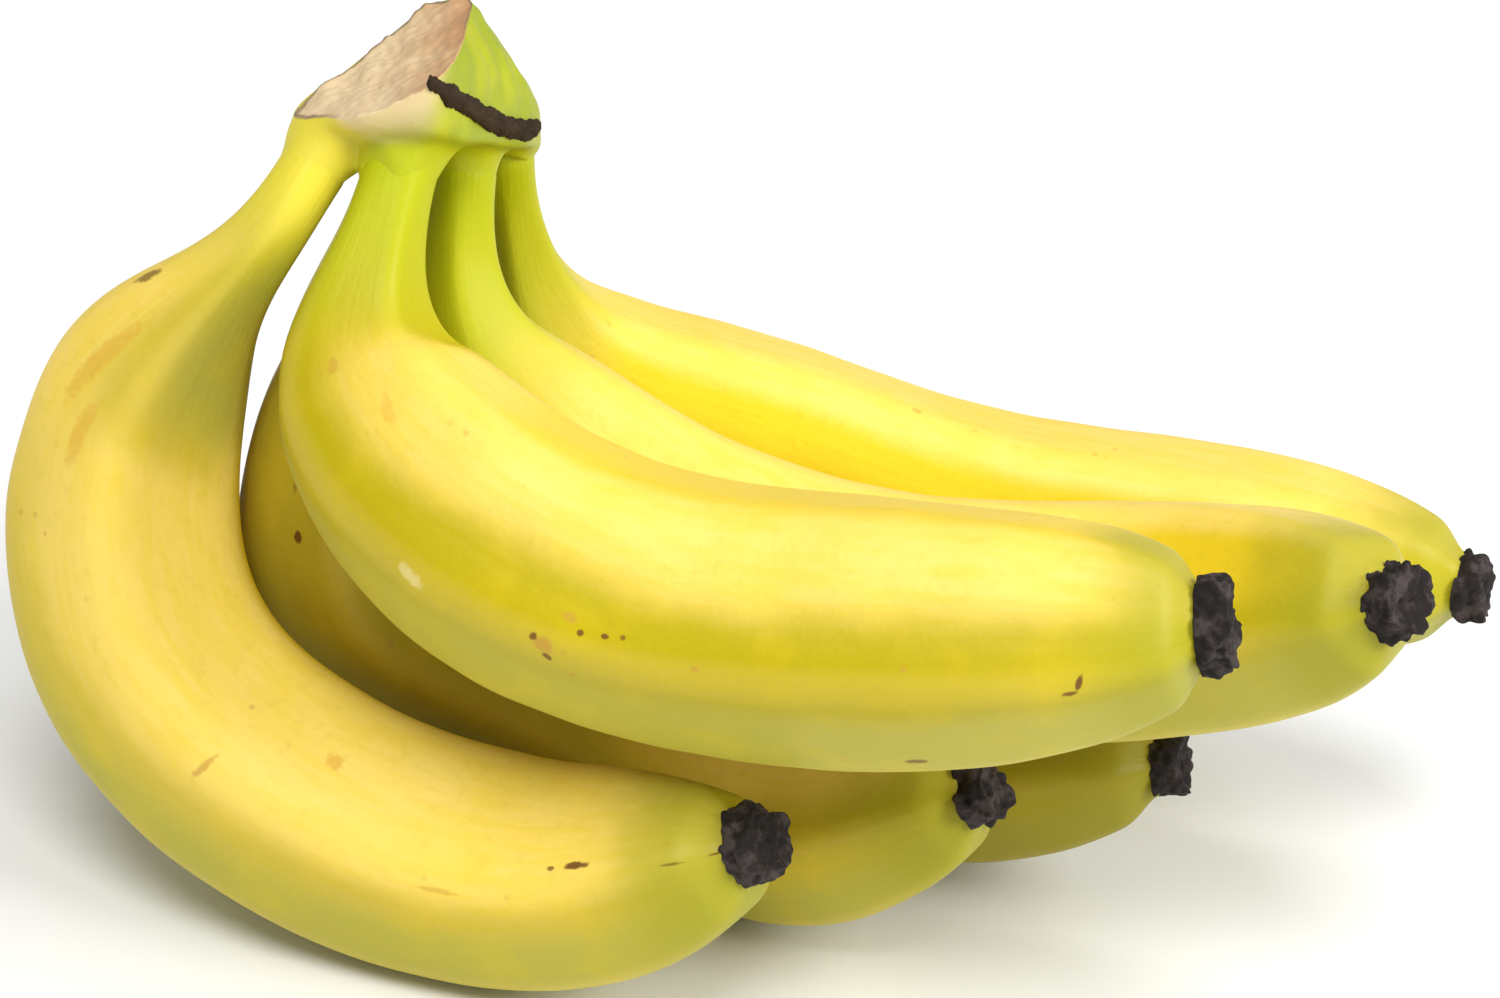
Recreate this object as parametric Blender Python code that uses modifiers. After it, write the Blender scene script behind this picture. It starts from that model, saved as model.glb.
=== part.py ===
"""A bunch of bananas: six fingers hanging in two rows from one cut crown, lying on its bellies.

Metres, +Z up, origin at the middle of the footprint, on the surface that the bunch rests on.
The sizes and points below are in millimetres. Each finger is a tube along a smooth route,
five-sided with soft corners, thin at its neck and full at its belly. Its dried flower is a
piece of its own on the tip, and the crown is cut to take the six necks.
"""

import bmesh
import bpy
import numpy as np
from mathutils import Vector

MM = 0.001
GAP = 0.3
BUNCH = "banana_bunch"

# A finger: its radius at the belly, and the points that its middle line runs through: crown,
# neck, shoulder, back, belly, fore end and tip. The first three are the upper row.
FINGERS = {
    "finger_1": (20.25, ((-62, 6, 127), (-66, -5, 110), (-66, -14, 92), (-48, -31, 78),
                         (-20, -39, 71), (17, -46, 74), (62, -54, 82))),
    "finger_2": (19.0, ((-55, 15, 121), (-54, 9, 100), (-48, 6, 85), (-22, 6, 61),
                        (15, 0, 53), (58, -4, 58), (91, -31, 79))),
    "finger_3": (17.5, ((-50, 26, 118), (-46, 33, 92), (-35, 39, 70), (-6, 44, 58),
                        (30, 45, 48), (70, 38, 49), (113, 25, 53))),
    "finger_4": (18.75, ((-74, 8, 122), (-83, -2, 107), (-99, 5, 76), (-97, -8, 42),
                         (-70, -23, 23), (-31, -34, 20), (-1, -50, 38))),
    "finger_5": (16.0, ((-66, 18, 124), (-66, 14, 103), (-70, 13, 68), (-64, 13, 40),
                        (-29, 8, 25), (4, -10, 18), (34, -27, 37))),
    "finger_6": (16.75, ((-63, 28, 121), (-67, 41, 83), (-58, 47, 51), (-34, 44, 27),
                         (-4, 35, 18), (27, 15, 18), (66, 3, 28))),
}
# How thick a finger is along its length: (share of the length, share of the belly's radius).
THICKNESS = ((0.0, 0.30), (0.10, 0.31), (0.165, 0.48), (0.235, 0.76), (0.315, 0.92),
             (0.43, 1.0), (0.63, 1.01), (0.785, 0.975), (0.892, 0.83), (0.961, 0.58), (1.0, 0.34))
RIBS = 5
RIB_HEIGHT = 0.05  # how far a flat lies inside its two ribs, as a share of the radius
SECTION_SIDES = 20
RINGS = 27

# The dried flower: how far its stub reaches behind and past the end of the route.
FLOWER_BEHIND = 3.0
FLOWER_PAST = 4.0
FLOWER_TAPER = 0.86
FLOWER_WAIST = 0.88

# The crown: the corners of the block that it is rounded from, and the knife's plane.
CROWN_CORNERS = (
    (-80, 3, 117), (-71, -7, 119), (-57, -7, 123), (-44, 12, 117), (-43, 31, 110),
    (-59, 37, 108), (-72, 27, 112), (-80, 14, 116), (-82, 5, 127), (-72, -9, 134),
    (-58, -5, 144), (-57, 23, 149), (-43, 19, 125), (-46, 33, 118), (-65, 34, 125),
)
CUT_POINT = (-59.8, 1.2, 135.6)
CUT_NORMAL = (-0.504, -0.037, 0.863)
CUT_BLOCK = 80.0
NECK_SOCKET = 0.12  # the share of a finger's length that its socket in the crown reaches
CROWN_LEVELS = 2

# The dried base of the bract: a bar lying on the crown's skin near these points.
BRACT_ROUTE = ((-61, -1, 133), (-57, 2, 129.5), (-53, 6, 126), (-49, 11, 122.5), (-45, 18, 120))
BRACT_RADIUS = 1.6
BRACT_RINGS = 13
BRACT_SIDES = 10
BRACT_END = 0.55  # the bar's radius at its two ends, as a share of its radius

SHIFT = Vector((-0.2, 1.9, -0.1))  # puts the middle of the footprint on the origin

SKIN_YELLOW = (0.82, 0.60, 0.06)
CROWN_GREEN = (0.50, 0.52, 0.10)
DRIED_BLACK = (0.035, 0.024, 0.020)
BRACT_BROWN = (0.07, 0.035, 0.015)


def clear_scene():
    for obj in list(bpy.data.objects):
        bpy.data.objects.remove(obj, do_unlink=True)


def collection(name, hidden=False):
    made = bpy.data.collections.new(name)
    made.hide_render = hidden
    bpy.context.scene.collection.children.link(made)
    return made


def material(name, colour, roughness):
    made = bpy.data.materials.new(name)
    made.use_nodes = True
    shader = made.node_tree.nodes["Principled BSDF"]
    shader.inputs["Base Color"].default_value = (*colour, 1.0)
    shader.inputs["Roughness"].default_value = roughness
    shader.inputs["Metallic"].default_value = 0.0
    return made


def natural_spline(knots, values, places):
    """The natural cubic spline through the values at the knots, read at the places."""
    knots = np.asarray(knots, float)
    values = np.asarray(values, float).reshape(len(knots), -1)
    gaps = np.diff(knots)[:, None]
    slopes = np.diff(values, axis=0) / gaps
    bends = np.eye(len(knots))
    rises = np.zeros_like(values)
    for i in range(1, len(knots) - 1):
        bends[i, i - 1:i + 2] = gaps[i - 1, 0], 2 * (gaps[i - 1, 0] + gaps[i, 0]), gaps[i, 0]
        rises[i] = 6 * (slopes[i] - slopes[i - 1])
    curvature = np.linalg.solve(bends, rises)
    i = np.clip(np.searchsorted(knots, places, side="right") - 1, 0, len(knots) - 2)
    s = (np.asarray(places) - knots[i])[:, None]
    first = slopes[i] - gaps[i] * (2 * curvature[i] + curvature[i + 1]) / 6
    third = (curvature[i + 1] - curvature[i]) / (6 * gaps[i])
    return values[i] + s * first + s**2 * curvature[i] / 2 + s**3 * third


def smooth_route(points, samples=161):
    """Points closely spaced on the smooth line through the given ones, and their distances."""
    points = np.asarray(points, float)
    knots = np.r_[0, np.cumsum(np.linalg.norm(np.diff(points, axis=0), axis=1) ** 0.5)]
    line = natural_spline(knots, points, np.linspace(0, knots[-1], samples))
    along = np.r_[0, np.cumsum(np.linalg.norm(np.diff(line, axis=0), axis=1))]
    return line, along


def at_distances(line, along, distances):
    return np.stack([np.interp(distances, along, line[:, k]) for k in range(3)], axis=1)


def finger_tube(route, belly, start, end, rings, extra=0.0):
    """Middle points and radii of a finger between two distances, in millimetres."""
    line, along = smooth_route(route)
    distances = np.linspace(start, end if end > 0 else along[-1] + end, rings)
    shares, thickness = zip(*THICKNESS)
    radii = belly * natural_spline(shares, thickness, distances / along[-1])[:, 0] + extra
    return at_distances(line, along, distances), radii


def section_outline(name, sides, ribs, rib_height, guides):
    """A closed outline 1 mm in radius: a circle drawn in between its ribs."""
    curve = bpy.data.curves.new(name, "CURVE")
    curve.dimensions = "2D"
    spline = curve.splines.new("POLY")
    spline.points.add(sides - 1)
    for point, angle in zip(spline.points, np.linspace(0, 2 * np.pi, sides, endpoint=False)):
        radius = MM * (1 - rib_height * (1 - np.cos(ribs * angle)) / 2)
        point.co = (radius * np.cos(angle), radius * np.sin(angle), 0, 1)
    spline.use_cyclic_u = True
    outline = bpy.data.objects.new(name, curve)
    outline.hide_render = True
    guides.objects.link(outline)
    return outline


def tube(name, centres, radii, outline, into, surface=None):
    """A curve object with filled ends: the outline carried along the centres."""
    curve = bpy.data.curves.new(name, "CURVE")
    curve.dimensions = "3D"
    curve.bevel_mode = "OBJECT"
    curve.bevel_object = outline
    curve.use_fill_caps = True
    spline = curve.splines.new("POLY")
    spline.points.add(len(centres) - 1)
    for point, centre, radius in zip(spline.points, centres, radii):
        point.co = (*(centre * MM), 1)
        point.radius = radius
    spline.use_smooth = True
    obj = bpy.data.objects.new(name, curve)
    if surface:
        curve.materials.append(surface)
    into.objects.link(obj)
    return obj


def as_mesh(obj):
    """The tube as a closed mesh object of the same name, with its caps welded on."""
    graph = bpy.context.evaluated_depsgraph_get()
    mesh = bpy.data.meshes.new_from_object(obj.evaluated_get(graph))
    bm = bmesh.new()
    bm.from_mesh(mesh)
    bmesh.ops.remove_doubles(bm, verts=bm.verts, dist=0.00001)
    bmesh.ops.recalc_face_normals(bm, faces=bm.faces)
    bm.to_mesh(mesh)
    bm.free()
    name, homes, placed = obj.name, list(obj.users_collection), obj.matrix_world.copy()
    bpy.data.objects.remove(obj, do_unlink=True)
    made = bpy.data.objects.new(name, mesh)
    made.matrix_world = placed
    for home in homes:
        home.objects.link(made)
    return made


def as_cutter(obj):
    obj.hide_render = True
    obj.display_type = "WIRE"
    return obj


def finger(name, belly, route, outline, skin, parts):
    centres, radii = finger_tube(route, belly, 0.0, -FLOWER_BEHIND, RINGS)
    made = as_mesh(tube(name, centres, radii, outline, parts, skin))
    made.data.shade_smooth()
    return made


def dried_flower(name, belly, route, dried, parts):
    """A five-cornered stub on the tip, wider where it leaves the fruit."""
    line, along = smooth_route(route)
    tip = Vector(line[-1])
    outwards = Vector(line[-1] - line[-8]).normalized()
    _, radii = finger_tube(route, belly, 0.0, -FLOWER_BEHIND, 2)
    length = FLOWER_BEHIND + FLOWER_PAST - GAP
    bm = bmesh.new()
    bmesh.ops.create_cone(bm, cap_ends=True, segments=2 * RIBS, radius1=radii[-1] * MM,
                          radius2=radii[-1] * FLOWER_TAPER * MM, depth=length * MM)
    for vert in bm.verts:
        corner = round(np.arctan2(vert.co.y, vert.co.x) / (np.pi / RIBS))
        if corner % 2:
            vert.co.xy *= FLOWER_WAIST
    mesh = bpy.data.meshes.new(name)
    bm.to_mesh(mesh)
    bm.free()
    mesh.materials.append(dried)
    made = bpy.data.objects.new(name, mesh)
    made.location = (tip + outwards * (FLOWER_PAST - length / 2)) * MM
    made.rotation_euler = outwards.to_track_quat("Z", "Y").to_euler()
    parts.objects.link(made)
    return made


def crown_block(name, green, parts):
    """A rounded block around the crown's corners, before it is cut."""
    bm = bmesh.new()
    for corner in CROWN_CORNERS:
        bm.verts.new(Vector(corner) * MM)
    hull = bmesh.ops.convex_hull(bm, input=bm.verts)
    bmesh.ops.delete(bm, geom=hull["geom_interior"], context="VERTS")
    bmesh.ops.recalc_face_normals(bm, faces=bm.faces)
    mesh = bpy.data.meshes.new(name)
    bm.to_mesh(mesh)
    bm.free()
    mesh.materials.append(green)
    made = bpy.data.objects.new(name, mesh)
    parts.objects.link(made)
    soften = made.modifiers.new("soften", "SUBSURF")
    soften.levels = CROWN_LEVELS
    soften.render_levels = CROWN_LEVELS
    return made


def knife_cut(cutters):
    """A large block whose lower face is the plane that the crown was cut along."""
    mesh = bpy.data.meshes.new("knife_cut")
    bm = bmesh.new()
    bmesh.ops.create_cube(bm, size=CUT_BLOCK * MM)
    bm.to_mesh(mesh)
    bm.free()
    made = bpy.data.objects.new("knife_cut", mesh)
    normal = Vector(CUT_NORMAL).normalized()
    made.location = (Vector(CUT_POINT) + normal * CUT_BLOCK / 2) * MM
    made.rotation_euler = normal.to_track_quat("Z", "Y").to_euler()
    cutters.objects.link(made)
    return as_cutter(made)


def neck_socket(name, belly, route, outline, cutters):
    """The finger's neck, larger by the gap, to be cut out of the crown."""
    _, along = smooth_route(route)
    centres, radii = finger_tube(route, belly, 0.0, NECK_SOCKET * along[-1], 8, GAP)
    centres[0] += GAP * (centres[0] - centres[1]) / np.linalg.norm(centres[0] - centres[1])
    return as_cutter(as_mesh(tube(name + "_socket", centres, radii, outline, cutters)))


def on_skin(block, points):
    """The points moved onto the surface of the rounded block, in millimetres."""
    bpy.context.view_layer.update()
    skin = block.evaluated_get(bpy.context.evaluated_depsgraph_get())
    return [skin.closest_point_on_mesh(Vector(point) * MM)[1] / MM for point in points]


def bract_bar(name, route, outline, into, surface=None, extra=0.0):
    """A bar along the route, thinner towards its ends, larger all over by the extra."""
    line, along = smooth_route(route)
    distances = np.linspace(0, along[-1], BRACT_RINGS)
    centres = at_distances(line, along, distances)
    for end, inner in ((0, 1), (-1, -2)):
        outwards = centres[end] - centres[inner]
        centres[end] += extra * outwards / np.linalg.norm(outwards)
    swell = BRACT_END + (1 - BRACT_END) * np.sin(np.pi * distances / along[-1]) ** 0.5
    return as_mesh(tube(name, centres, BRACT_RADIUS * swell + extra, outline, into, surface))


def cut(obj, cutter):
    trim = obj.modifiers.new(cutter.name, "BOOLEAN")
    trim.operation = "DIFFERENCE"
    trim.solver = "EXACT"
    trim.object = cutter


def main():
    clear_scene()
    parts = collection(BUNCH)
    cutters = collection("cutters", hidden=True)
    skin = material("banana_skin", SKIN_YELLOW, 0.45)
    green = material("crown_skin", CROWN_GREEN, 0.5)
    dried = material("dried_flower", DRIED_BLACK, 0.85)
    brown = material("dried_bract", BRACT_BROWN, 0.8)
    ribbed = section_outline("ribbed_section", SECTION_SIDES, RIBS, RIB_HEIGHT, cutters)
    round_bar = section_outline("bar_section", BRACT_SIDES, 1, 0.0, cutters)

    crown = crown_block("crown", green, parts)
    bract_route = on_skin(crown, BRACT_ROUTE)
    cut(crown, knife_cut(cutters))
    for number, (name, (belly, route)) in enumerate(FINGERS.items(), start=1):
        finger(name, belly, route, ribbed, skin, parts)
        dried_flower(f"dried_flower_{number}", belly, route, dried, parts)
        cut(crown, neck_socket(name, belly, route, ribbed, cutters))
    bract_bar("bract_base", bract_route, round_bar, parts, brown)
    cut(crown, as_cutter(bract_bar("bract_groove", bract_route, round_bar, cutters, extra=GAP)))

    bunch = bpy.data.objects.new("bunch_origin", None)
    parts.objects.link(bunch)
    for obj in [*parts.objects, *cutters.objects]:
        if obj is not bunch:
            obj.parent = bunch
    bunch.location = SHIFT * MM


main()
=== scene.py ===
"""A bunch of bananas, as a Blender add-on whose operators make each kind of piece.

Six fingers hang in two rows from one cut crown. Each finger's skin is a five-ribbed tube
along a smooth route, pressed in where it touches its neighbours; its dried flower sits on
the tip. The crown is a block with rounded edges that the necks grow into, cut flat on top,
with the dried base of its bract along one edge. Metres, +Z up.
"""

import itertools
from typing import NamedTuple

import bpy
import numpy as np
from mathutils import Matrix, Vector


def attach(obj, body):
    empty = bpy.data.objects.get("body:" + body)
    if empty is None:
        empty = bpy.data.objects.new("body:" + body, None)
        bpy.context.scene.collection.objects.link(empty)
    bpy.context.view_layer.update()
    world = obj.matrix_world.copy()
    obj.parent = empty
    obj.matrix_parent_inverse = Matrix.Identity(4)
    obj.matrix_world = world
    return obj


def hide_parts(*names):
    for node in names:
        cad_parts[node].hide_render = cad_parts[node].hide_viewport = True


bl_info = {
    "name": "Banana bunch",
    "version": (1, 0, 0),
    "blender": (4, 5, 0),
    "location": "3D View > Sidebar > Bananas",
    "description": "Makes a bunch of bananas, its stage and its camera",
    "category": "Object",
}

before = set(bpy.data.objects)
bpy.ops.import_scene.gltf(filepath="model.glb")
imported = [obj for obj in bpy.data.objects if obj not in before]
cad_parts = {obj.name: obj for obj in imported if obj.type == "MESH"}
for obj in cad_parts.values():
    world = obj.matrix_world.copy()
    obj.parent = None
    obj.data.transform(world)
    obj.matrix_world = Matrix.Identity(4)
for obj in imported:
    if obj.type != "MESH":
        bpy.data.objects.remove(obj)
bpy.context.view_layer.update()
BODY = "root"
MM = 0.001

# The fingers' routes, as in the solids but for finger 1's tip, 2 mm higher: belly radius, then
# crown, neck, shoulder, back, belly, fore end and tip, in millimetres before the shift.
SHIFT = np.array((-0.2, 1.9, -0.1))
ROUTES = {
    "finger_1": (20.25, ((-62, 6, 127), (-66, -5, 110), (-66, -14, 92), (-48, -31, 78),
                         (-20, -39, 71), (17, -46, 74), (61, -54, 84))),
    "finger_2": (19.0, ((-55, 15, 121), (-54, 9, 100), (-48, 6, 85), (-22, 6, 61),
                        (15, 0, 53), (58, -4, 58), (91, -31, 79))),
    "finger_3": (17.5, ((-50, 26, 118), (-46, 33, 92), (-35, 39, 70), (-6, 44, 58),
                        (30, 45, 48), (70, 38, 49), (113, 25, 53))),
    "finger_4": (18.75, ((-74, 8, 122), (-83, -2, 107), (-99, 5, 76), (-97, -8, 42),
                         (-70, -23, 23), (-31, -34, 20), (-1, -50, 38))),
    "finger_5": (16.0, ((-66, 18, 124), (-66, 14, 103), (-70, 13, 68), (-64, 13, 40),
                        (-29, 8, 25), (4, -10, 18), (34, -27, 37))),
    "finger_6": (16.75, ((-63, 28, 121), (-67, 41, 83), (-58, 47, 51), (-34, 44, 27),
                         (-4, 35, 18), (27, 15, 18), (66, 3, 28))),
}
# Shares of a finger's route, each with the radius there as a share of the belly's.
THICKNESS = ((0.0, 0.30), (0.10, 0.31), (0.165, 0.48), (0.235, 0.76), (0.315, 0.92),
             (0.43, 1.0), (0.63, 1.01), (0.785, 0.975), (0.892, 0.83), (0.961, 0.58), (1.0, 0.34))
# How far, in degrees, the first rib is turned from the side away from the finger's bend.
RIB_TURNS = {"finger_1": 2, "finger_2": -4, "finger_3": 25,
             "finger_4": 2, "finger_5": 14, "finger_6": 30}
RIBS = 5
RINGS = 300
SIDES = 110
BELLY_SHARPNESS = 6.6  # how flat the sides between the ribs are on the belly,
END_SHARPNESS = 7.5  # near the neck and the tip,
RIB_SHARPNESS = 9.0  # in the pattern that colours the ribs,
FLOWER_SHARPNESS = 7.0  # and round a dried flower
SKIN_FIT = 0.977  # the skin's mean radius as a share of what the thickness gives
TIP_BACK = 2.6 * MM  # the skin ends this far before the end of its route
TOUCH_GAP = 0.15 * MM  # the room left between a skin and the neighbour it is pressed in by
FINGER_LENGTH = 205.0  # about how long a route is, in millimetres, which sizes the marks
SKIN_SHARE = 0.987  # the share of the route that the skin covers


class Tone(NamedTuple):
    """How one finger's skin is coloured, and how its painted shade falls."""
    high: float  # how far the skin faces up where the painted shade on the flanks starts
    low: float  # how far it faces up where that painted shade is full
    shaded_flank: float  # the strength of that painted shade on the flanks
    green: float  # the green's strength at the neck
    reach: float  # how far the green reaches, as a share of the usual
    bare: float = -1.0  # the share of the girth below which the flanks get no painted shade and keep the top's colour
    shade: float = 0.0  # how strongly painted shade darkens the whole finger
    pale_neck: bool = False  # whether the neck's top has turned already


SKIN_TONES = {
    "finger_1": Tone(0.74, 0.34, 1.0, 0.90, 1.15),
    "finger_2": Tone(0.55, 0.15, 0.80, 0.85, 1.35),
    "finger_3": Tone(0.55, 0.15, 0.60, 0.80, 1.25),
    "finger_4": Tone(0.32, -0.05, 0.60, 0.45, 0.85, bare=0.42, pale_neck=True),
    "finger_5": Tone(0.80, 0.30, 0.80, 0.30, 1.00, shade=0.10),
    "finger_6": Tone(0.80, 0.30, 0.95, 0.50, 1.00, shade=0.50),
}
SHADED_SKIN = (0.20, 0.155, 0.004)  # the colour of the painted shade that darkens a whole finger
# Facets with golden painted shade: their shares of the girth, where they start, and how strongly.
SHADED_FACETS = {
    "finger_1": ((0.42, 0.585, 0.30, 0.65),), "finger_2": ((0.415, 0.60, 0.68, 0.90),),
    "finger_3": ((0.50, 0.68, 0.16, 0.90),), "finger_4": ((0.20, 0.385, 0.14, 1.0),),
}
STAINS = {"brown": (0.16, 0.06, 0.012), "tan": (0.55, 0.27, 0.05), "orange": (0.72, 0.36, 0.03),
          "pale": (0.95, 0.80, 0.40)}
# Marks on the skin: share along, share around, length and width (mm), turn (degrees),
# strength, stain.
MARKS = {
    "finger_4": (
        (0.176, 0.786, 5, 3, 20, 0.75, "brown"), (0.235, 0.700, 20, 5, 8, 0.45, "orange"),
        (0.293, 0.655, 14, 4, 5, 0.45, "orange"), (0.564, 0.614, 1.2, 6, 12, 0.6, "tan"),
        (0.640, 0.514, 3.5, 3, 0, 0.6, "orange"), (0.885, 0.586, 4.5, 1.5, 0, 0.95, "brown"),
        (0.861, 0.588, 1.6, 0.9, 0, 0.8, "brown"), (0.960, 0.612, 3.5, 0.9, 10, 0.7, "brown"),
        (0.985, 0.612, 3.0, 1.0, -10, 0.8, "brown"), (0.755, 0.630, 7, 1.0, 0, 0.4, "tan"),
    ),
    "finger_1": (
        (0.503, 0.777, 1.2, 1.0, 0, 0.9, "brown"), (0.522, 0.772, 1.4, 0.9, 0, 0.9, "brown"),
        (0.536, 0.768, 1.2, 0.9, 0, 0.8, "brown"), (0.481, 0.805, 3.4, 2.6, 30, 0.65, "tan"),
        (0.473, 0.800, 1.2, 1.4, 0, 0.9, "brown"), (0.486, 0.818, 1.8, 1.0, 30, 0.85, "brown"),
        (0.492, 0.765, 3.0, 1.6, 0, 0.5, "tan"), (0.901, 0.797, 1.2, 3.2, 20, 0.95, "brown"),
        (0.893, 0.812, 2.6, 1.1, 0, 0.9, "brown"), (0.229, 0.732, 4, 3, 0, 0.4, "tan"),
        (0.299, 0.686, 7, 2.4, 20, 0.35, "orange"), (0.390, 0.814, 4, 2.4, 20, 0.45, "pale"),
        (0.764, 0.941, 4, 1.6, 0, 0.8, "brown"), (0.600, 0.785, 1.5, 1.0, 0, 0.5, "tan"),
    ),
    "finger_5": ((0.339, 0.705, 2.2, 1.8, 0, 0.95, "brown"),
                 (0.300, 0.720, 3, 1.2, 0, 0.5, "brown")),
    "finger_2": ((0.20, 0.55, 2, 1, 0, 0.4, "tan"), (0.60, 0.30, 3, 1.5, 30, 0.4, "tan"),
                 (0.83, 0.62, 2, 1, 0, 0.5, "tan"), (0.70, 0.05, 3, 1.6, 0, 0.6, "brown")),
    "finger_3": ((0.52, 0.44, 2.2, 1.4, 0, 0.5, "tan"), (0.45, 0.95, 3, 2, 0, 0.6, "brown"),
                 (0.66, 0.10, 2, 1.2, 0, 0.6, "brown")),
    "finger_6": ((0.40, 0.02, 3, 2, 10, 0.6, "brown"), (0.75, 0.90, 2, 1.2, 0, 0.6, "brown")),
}

# The crown's block: its corners in millimetres before the shift, and the knife's plane.
CROWN_CORNERS = (
    (-80, 4, 121.5), (-71, -6, 125.5), (-57, -6, 126), (-44, 12, 117), (-43, 31, 110), (-59, 37, 108),
    (-72, 27, 112), (-79, 14, 118), (-81.5, 5, 127), (-72, -7.5, 134), (-60.6, -5, 142), (-60.6, 22, 146),
    (-43, 19, 125), (-46, 33, 118), (-65, 34, 125),
)
CUT_POINT = (-59.8, 1.2, 135.6)
CUT_NORMAL = (-0.504, -0.037, 0.863)
CUT_MIDDLE = (-61.5, 12.5, 134.0)  # above or below the place where the cut's rows start
CUT_RIM = (0.20, 0.14, 0.07)  # the colour of its dried rim
CROWN_CENTRE = (-61.5, 13.5, 121.5)  # inside the crown, where the rays that shape it start
CROWN_DOWN = (0.05, 0.1, -1.0)  # the direction in which they end, under the crown
CROWN_SIDES = 260
CUT_ROWS = 49
UNDER_ROWS = 120
RAY_LENGTH = 0.034
RAY_STEPS = 30
RAY_HALVINGS = 10
BLOCK_ROUNDING = 0.0006
BLOCK_SHRINK = 0.0009
NECK_BLEND = 0.0012  # how softly the necks and the block run into each other
NECK_WEIGHT = 0.35  # one ball's share in that, as the balls along a neck overlap
NECK_ROUTE_POINTS = 121
NECK_BALLS = slice(0, 13, 2)  # which of those points have one
NECK_SHARE = 0.10  # the share of the route that they cover
NECK_THINNING = 0.0014  # how far under the skin a neck's stub ends
NECK_FLARES = {"finger_4": 0.0014, "finger_1": 0.0020}  # how far a neck widens at the crown,
NECK_FLARE = 0.0006  # and how far the others do

# A dried flower's rows, from inside the tip to its own middle: share of the rows, share of the
# full radius, and height past the tip, in millimetres on a flower of the length below.
FLOWER_SHAPE = ((0, 0.2, -3.4), (0.12, 1.0, -3.0), (0.45, 0.95, 0.9), (0.6, 0.85, 1.9),
                (0.75, 0.6, 1.6), (1.0, 0.0, 0.8))
FLOWER_SHAPE_LENGTH = 7.0
FLOWER_ROWS = 40
FLOWER_SIDES = 80
FLOWER_GIRTHS = {"finger_1": 1.06, "finger_2": 0.90, "finger_5": 0.88}  # shares of the tip's,
FLOWER_GIRTH = 0.93  # and the share of the others
# painted glints: the paler colour on a dried flower's crumpled crests
FLOWER_GLINT = (0.060, 0.045, 0.043)
BRACT_ROUTE = ((-61, -1, 133), (-57, 2, 129.5), (-53, 6, 126), (-49, 11, 122.5), (-45, 18, 120))
BRACT_HEIGHT = 0.00185  # from the middle of the strip to its edge
BRACT_DEPTH = 0.0010  # from its middle to its face
BRACT_RINGS = 110
BRACT_SIDES = 64
BRACT_DUST = (0.040, 0.022, 0.009)

CAMERA_AT = (-0.04155, -0.72203, 0.44298)
CAMERA_LOOKS_AT = (-0.00698, -0.01184, 0.07633)
CAMERA_ROLL = 6.8
CAMERA_LENS = 126.72
SENSOR = 36.0
FLOOR_HALF = 3.0
FLOOR_COLOUR = (0.88, 0.88, 0.88)
WORLD_STRENGTH = 0.36
# Kind, name, place, power, and a disc's size or a sun's angle.
LAMPS = (("SUN", "key", (-0.12, -0.50, 1.0), 1.95, 0.5),
         ("AREA", "fill", (0.95, -0.35, 0.8), 12.0, 0.8))
LAMPS_AIM_AT = (0, 0, 0.06)


# ---------------------------------------------------------------- shapes

def placed(points):
    """Points given in millimetres before the shift, in metres where they belong."""
    return (np.array(points, float) + SHIFT) * MM


def natural_spline(knots, values, places):
    """The natural cubic spline through the values at the knots, read at the places."""
    knots = np.asarray(knots, float)
    values = np.asarray(values, float).reshape(len(knots), -1)
    gaps = np.diff(knots)[:, None]
    slopes = np.diff(values, axis=0) / gaps
    bends = np.eye(len(knots))
    rises = np.zeros_like(values)
    for i in range(1, len(knots) - 1):
        bends[i, i - 1:i + 2] = gaps[i - 1, 0], 2 * (gaps[i - 1, 0] + gaps[i, 0]), gaps[i, 0]
        rises[i] = 6 * (slopes[i] - slopes[i - 1])
    curvature = np.linalg.solve(bends, rises)
    i = np.clip(np.searchsorted(knots, places, side="right") - 1, 0, len(knots) - 2)
    s = (np.asarray(places) - knots[i])[:, None]
    first = slopes[i] - gaps[i] * (2 * curvature[i] + curvature[i + 1]) / 6
    third = (curvature[i + 1] - curvature[i]) / (6 * gaps[i])
    return values[i] + s * first + s**2 * curvature[i] / 2 + s**3 * third


def unit(vectors):
    return vectors / np.linalg.norm(vectors, axis=-1, keepdims=True)


def smoothstep(low, high, value):
    t = np.clip((value - low) / (high - low), 0, 1)
    return t * t * (3 - 2 * t)


def waves(points, length, seed, layers=14):
    """Soft noise from about -1 to 1: a sum of plane waves of about that length, in random
    directions and phases, the same for the same seed."""
    dice = np.random.default_rng(seed)
    directions = unit(dice.normal(size=(layers, 3)))
    pitches = 2 * np.pi / (length * dice.uniform(0.7, 1.4, layers))
    phases = dice.uniform(0, 2 * np.pi, layers)
    return np.sin(points @ (directions * pitches[:, None]).T + phases).sum(-1) / np.sqrt(layers)


def even_route(route, rings, end_gap=0.0):
    """Points evenly spaced along the smooth line through a route, in metres, and their shares
    of its length; the last point stops the end gap short."""
    points = placed(route)
    knots = np.r_[0, np.cumsum(np.linalg.norm(np.diff(points, axis=0), axis=1) ** 0.5)]
    line = natural_spline(knots, points, np.linspace(0, knots[-1], 161))
    along = np.r_[0, np.cumsum(np.linalg.norm(np.diff(line, axis=0), axis=1))]
    at = np.linspace(0, along[-1] - end_gap, rings)
    return np.stack([np.interp(at, along, line[:, k]) for k in range(3)], 1), at / along[-1]


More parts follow.
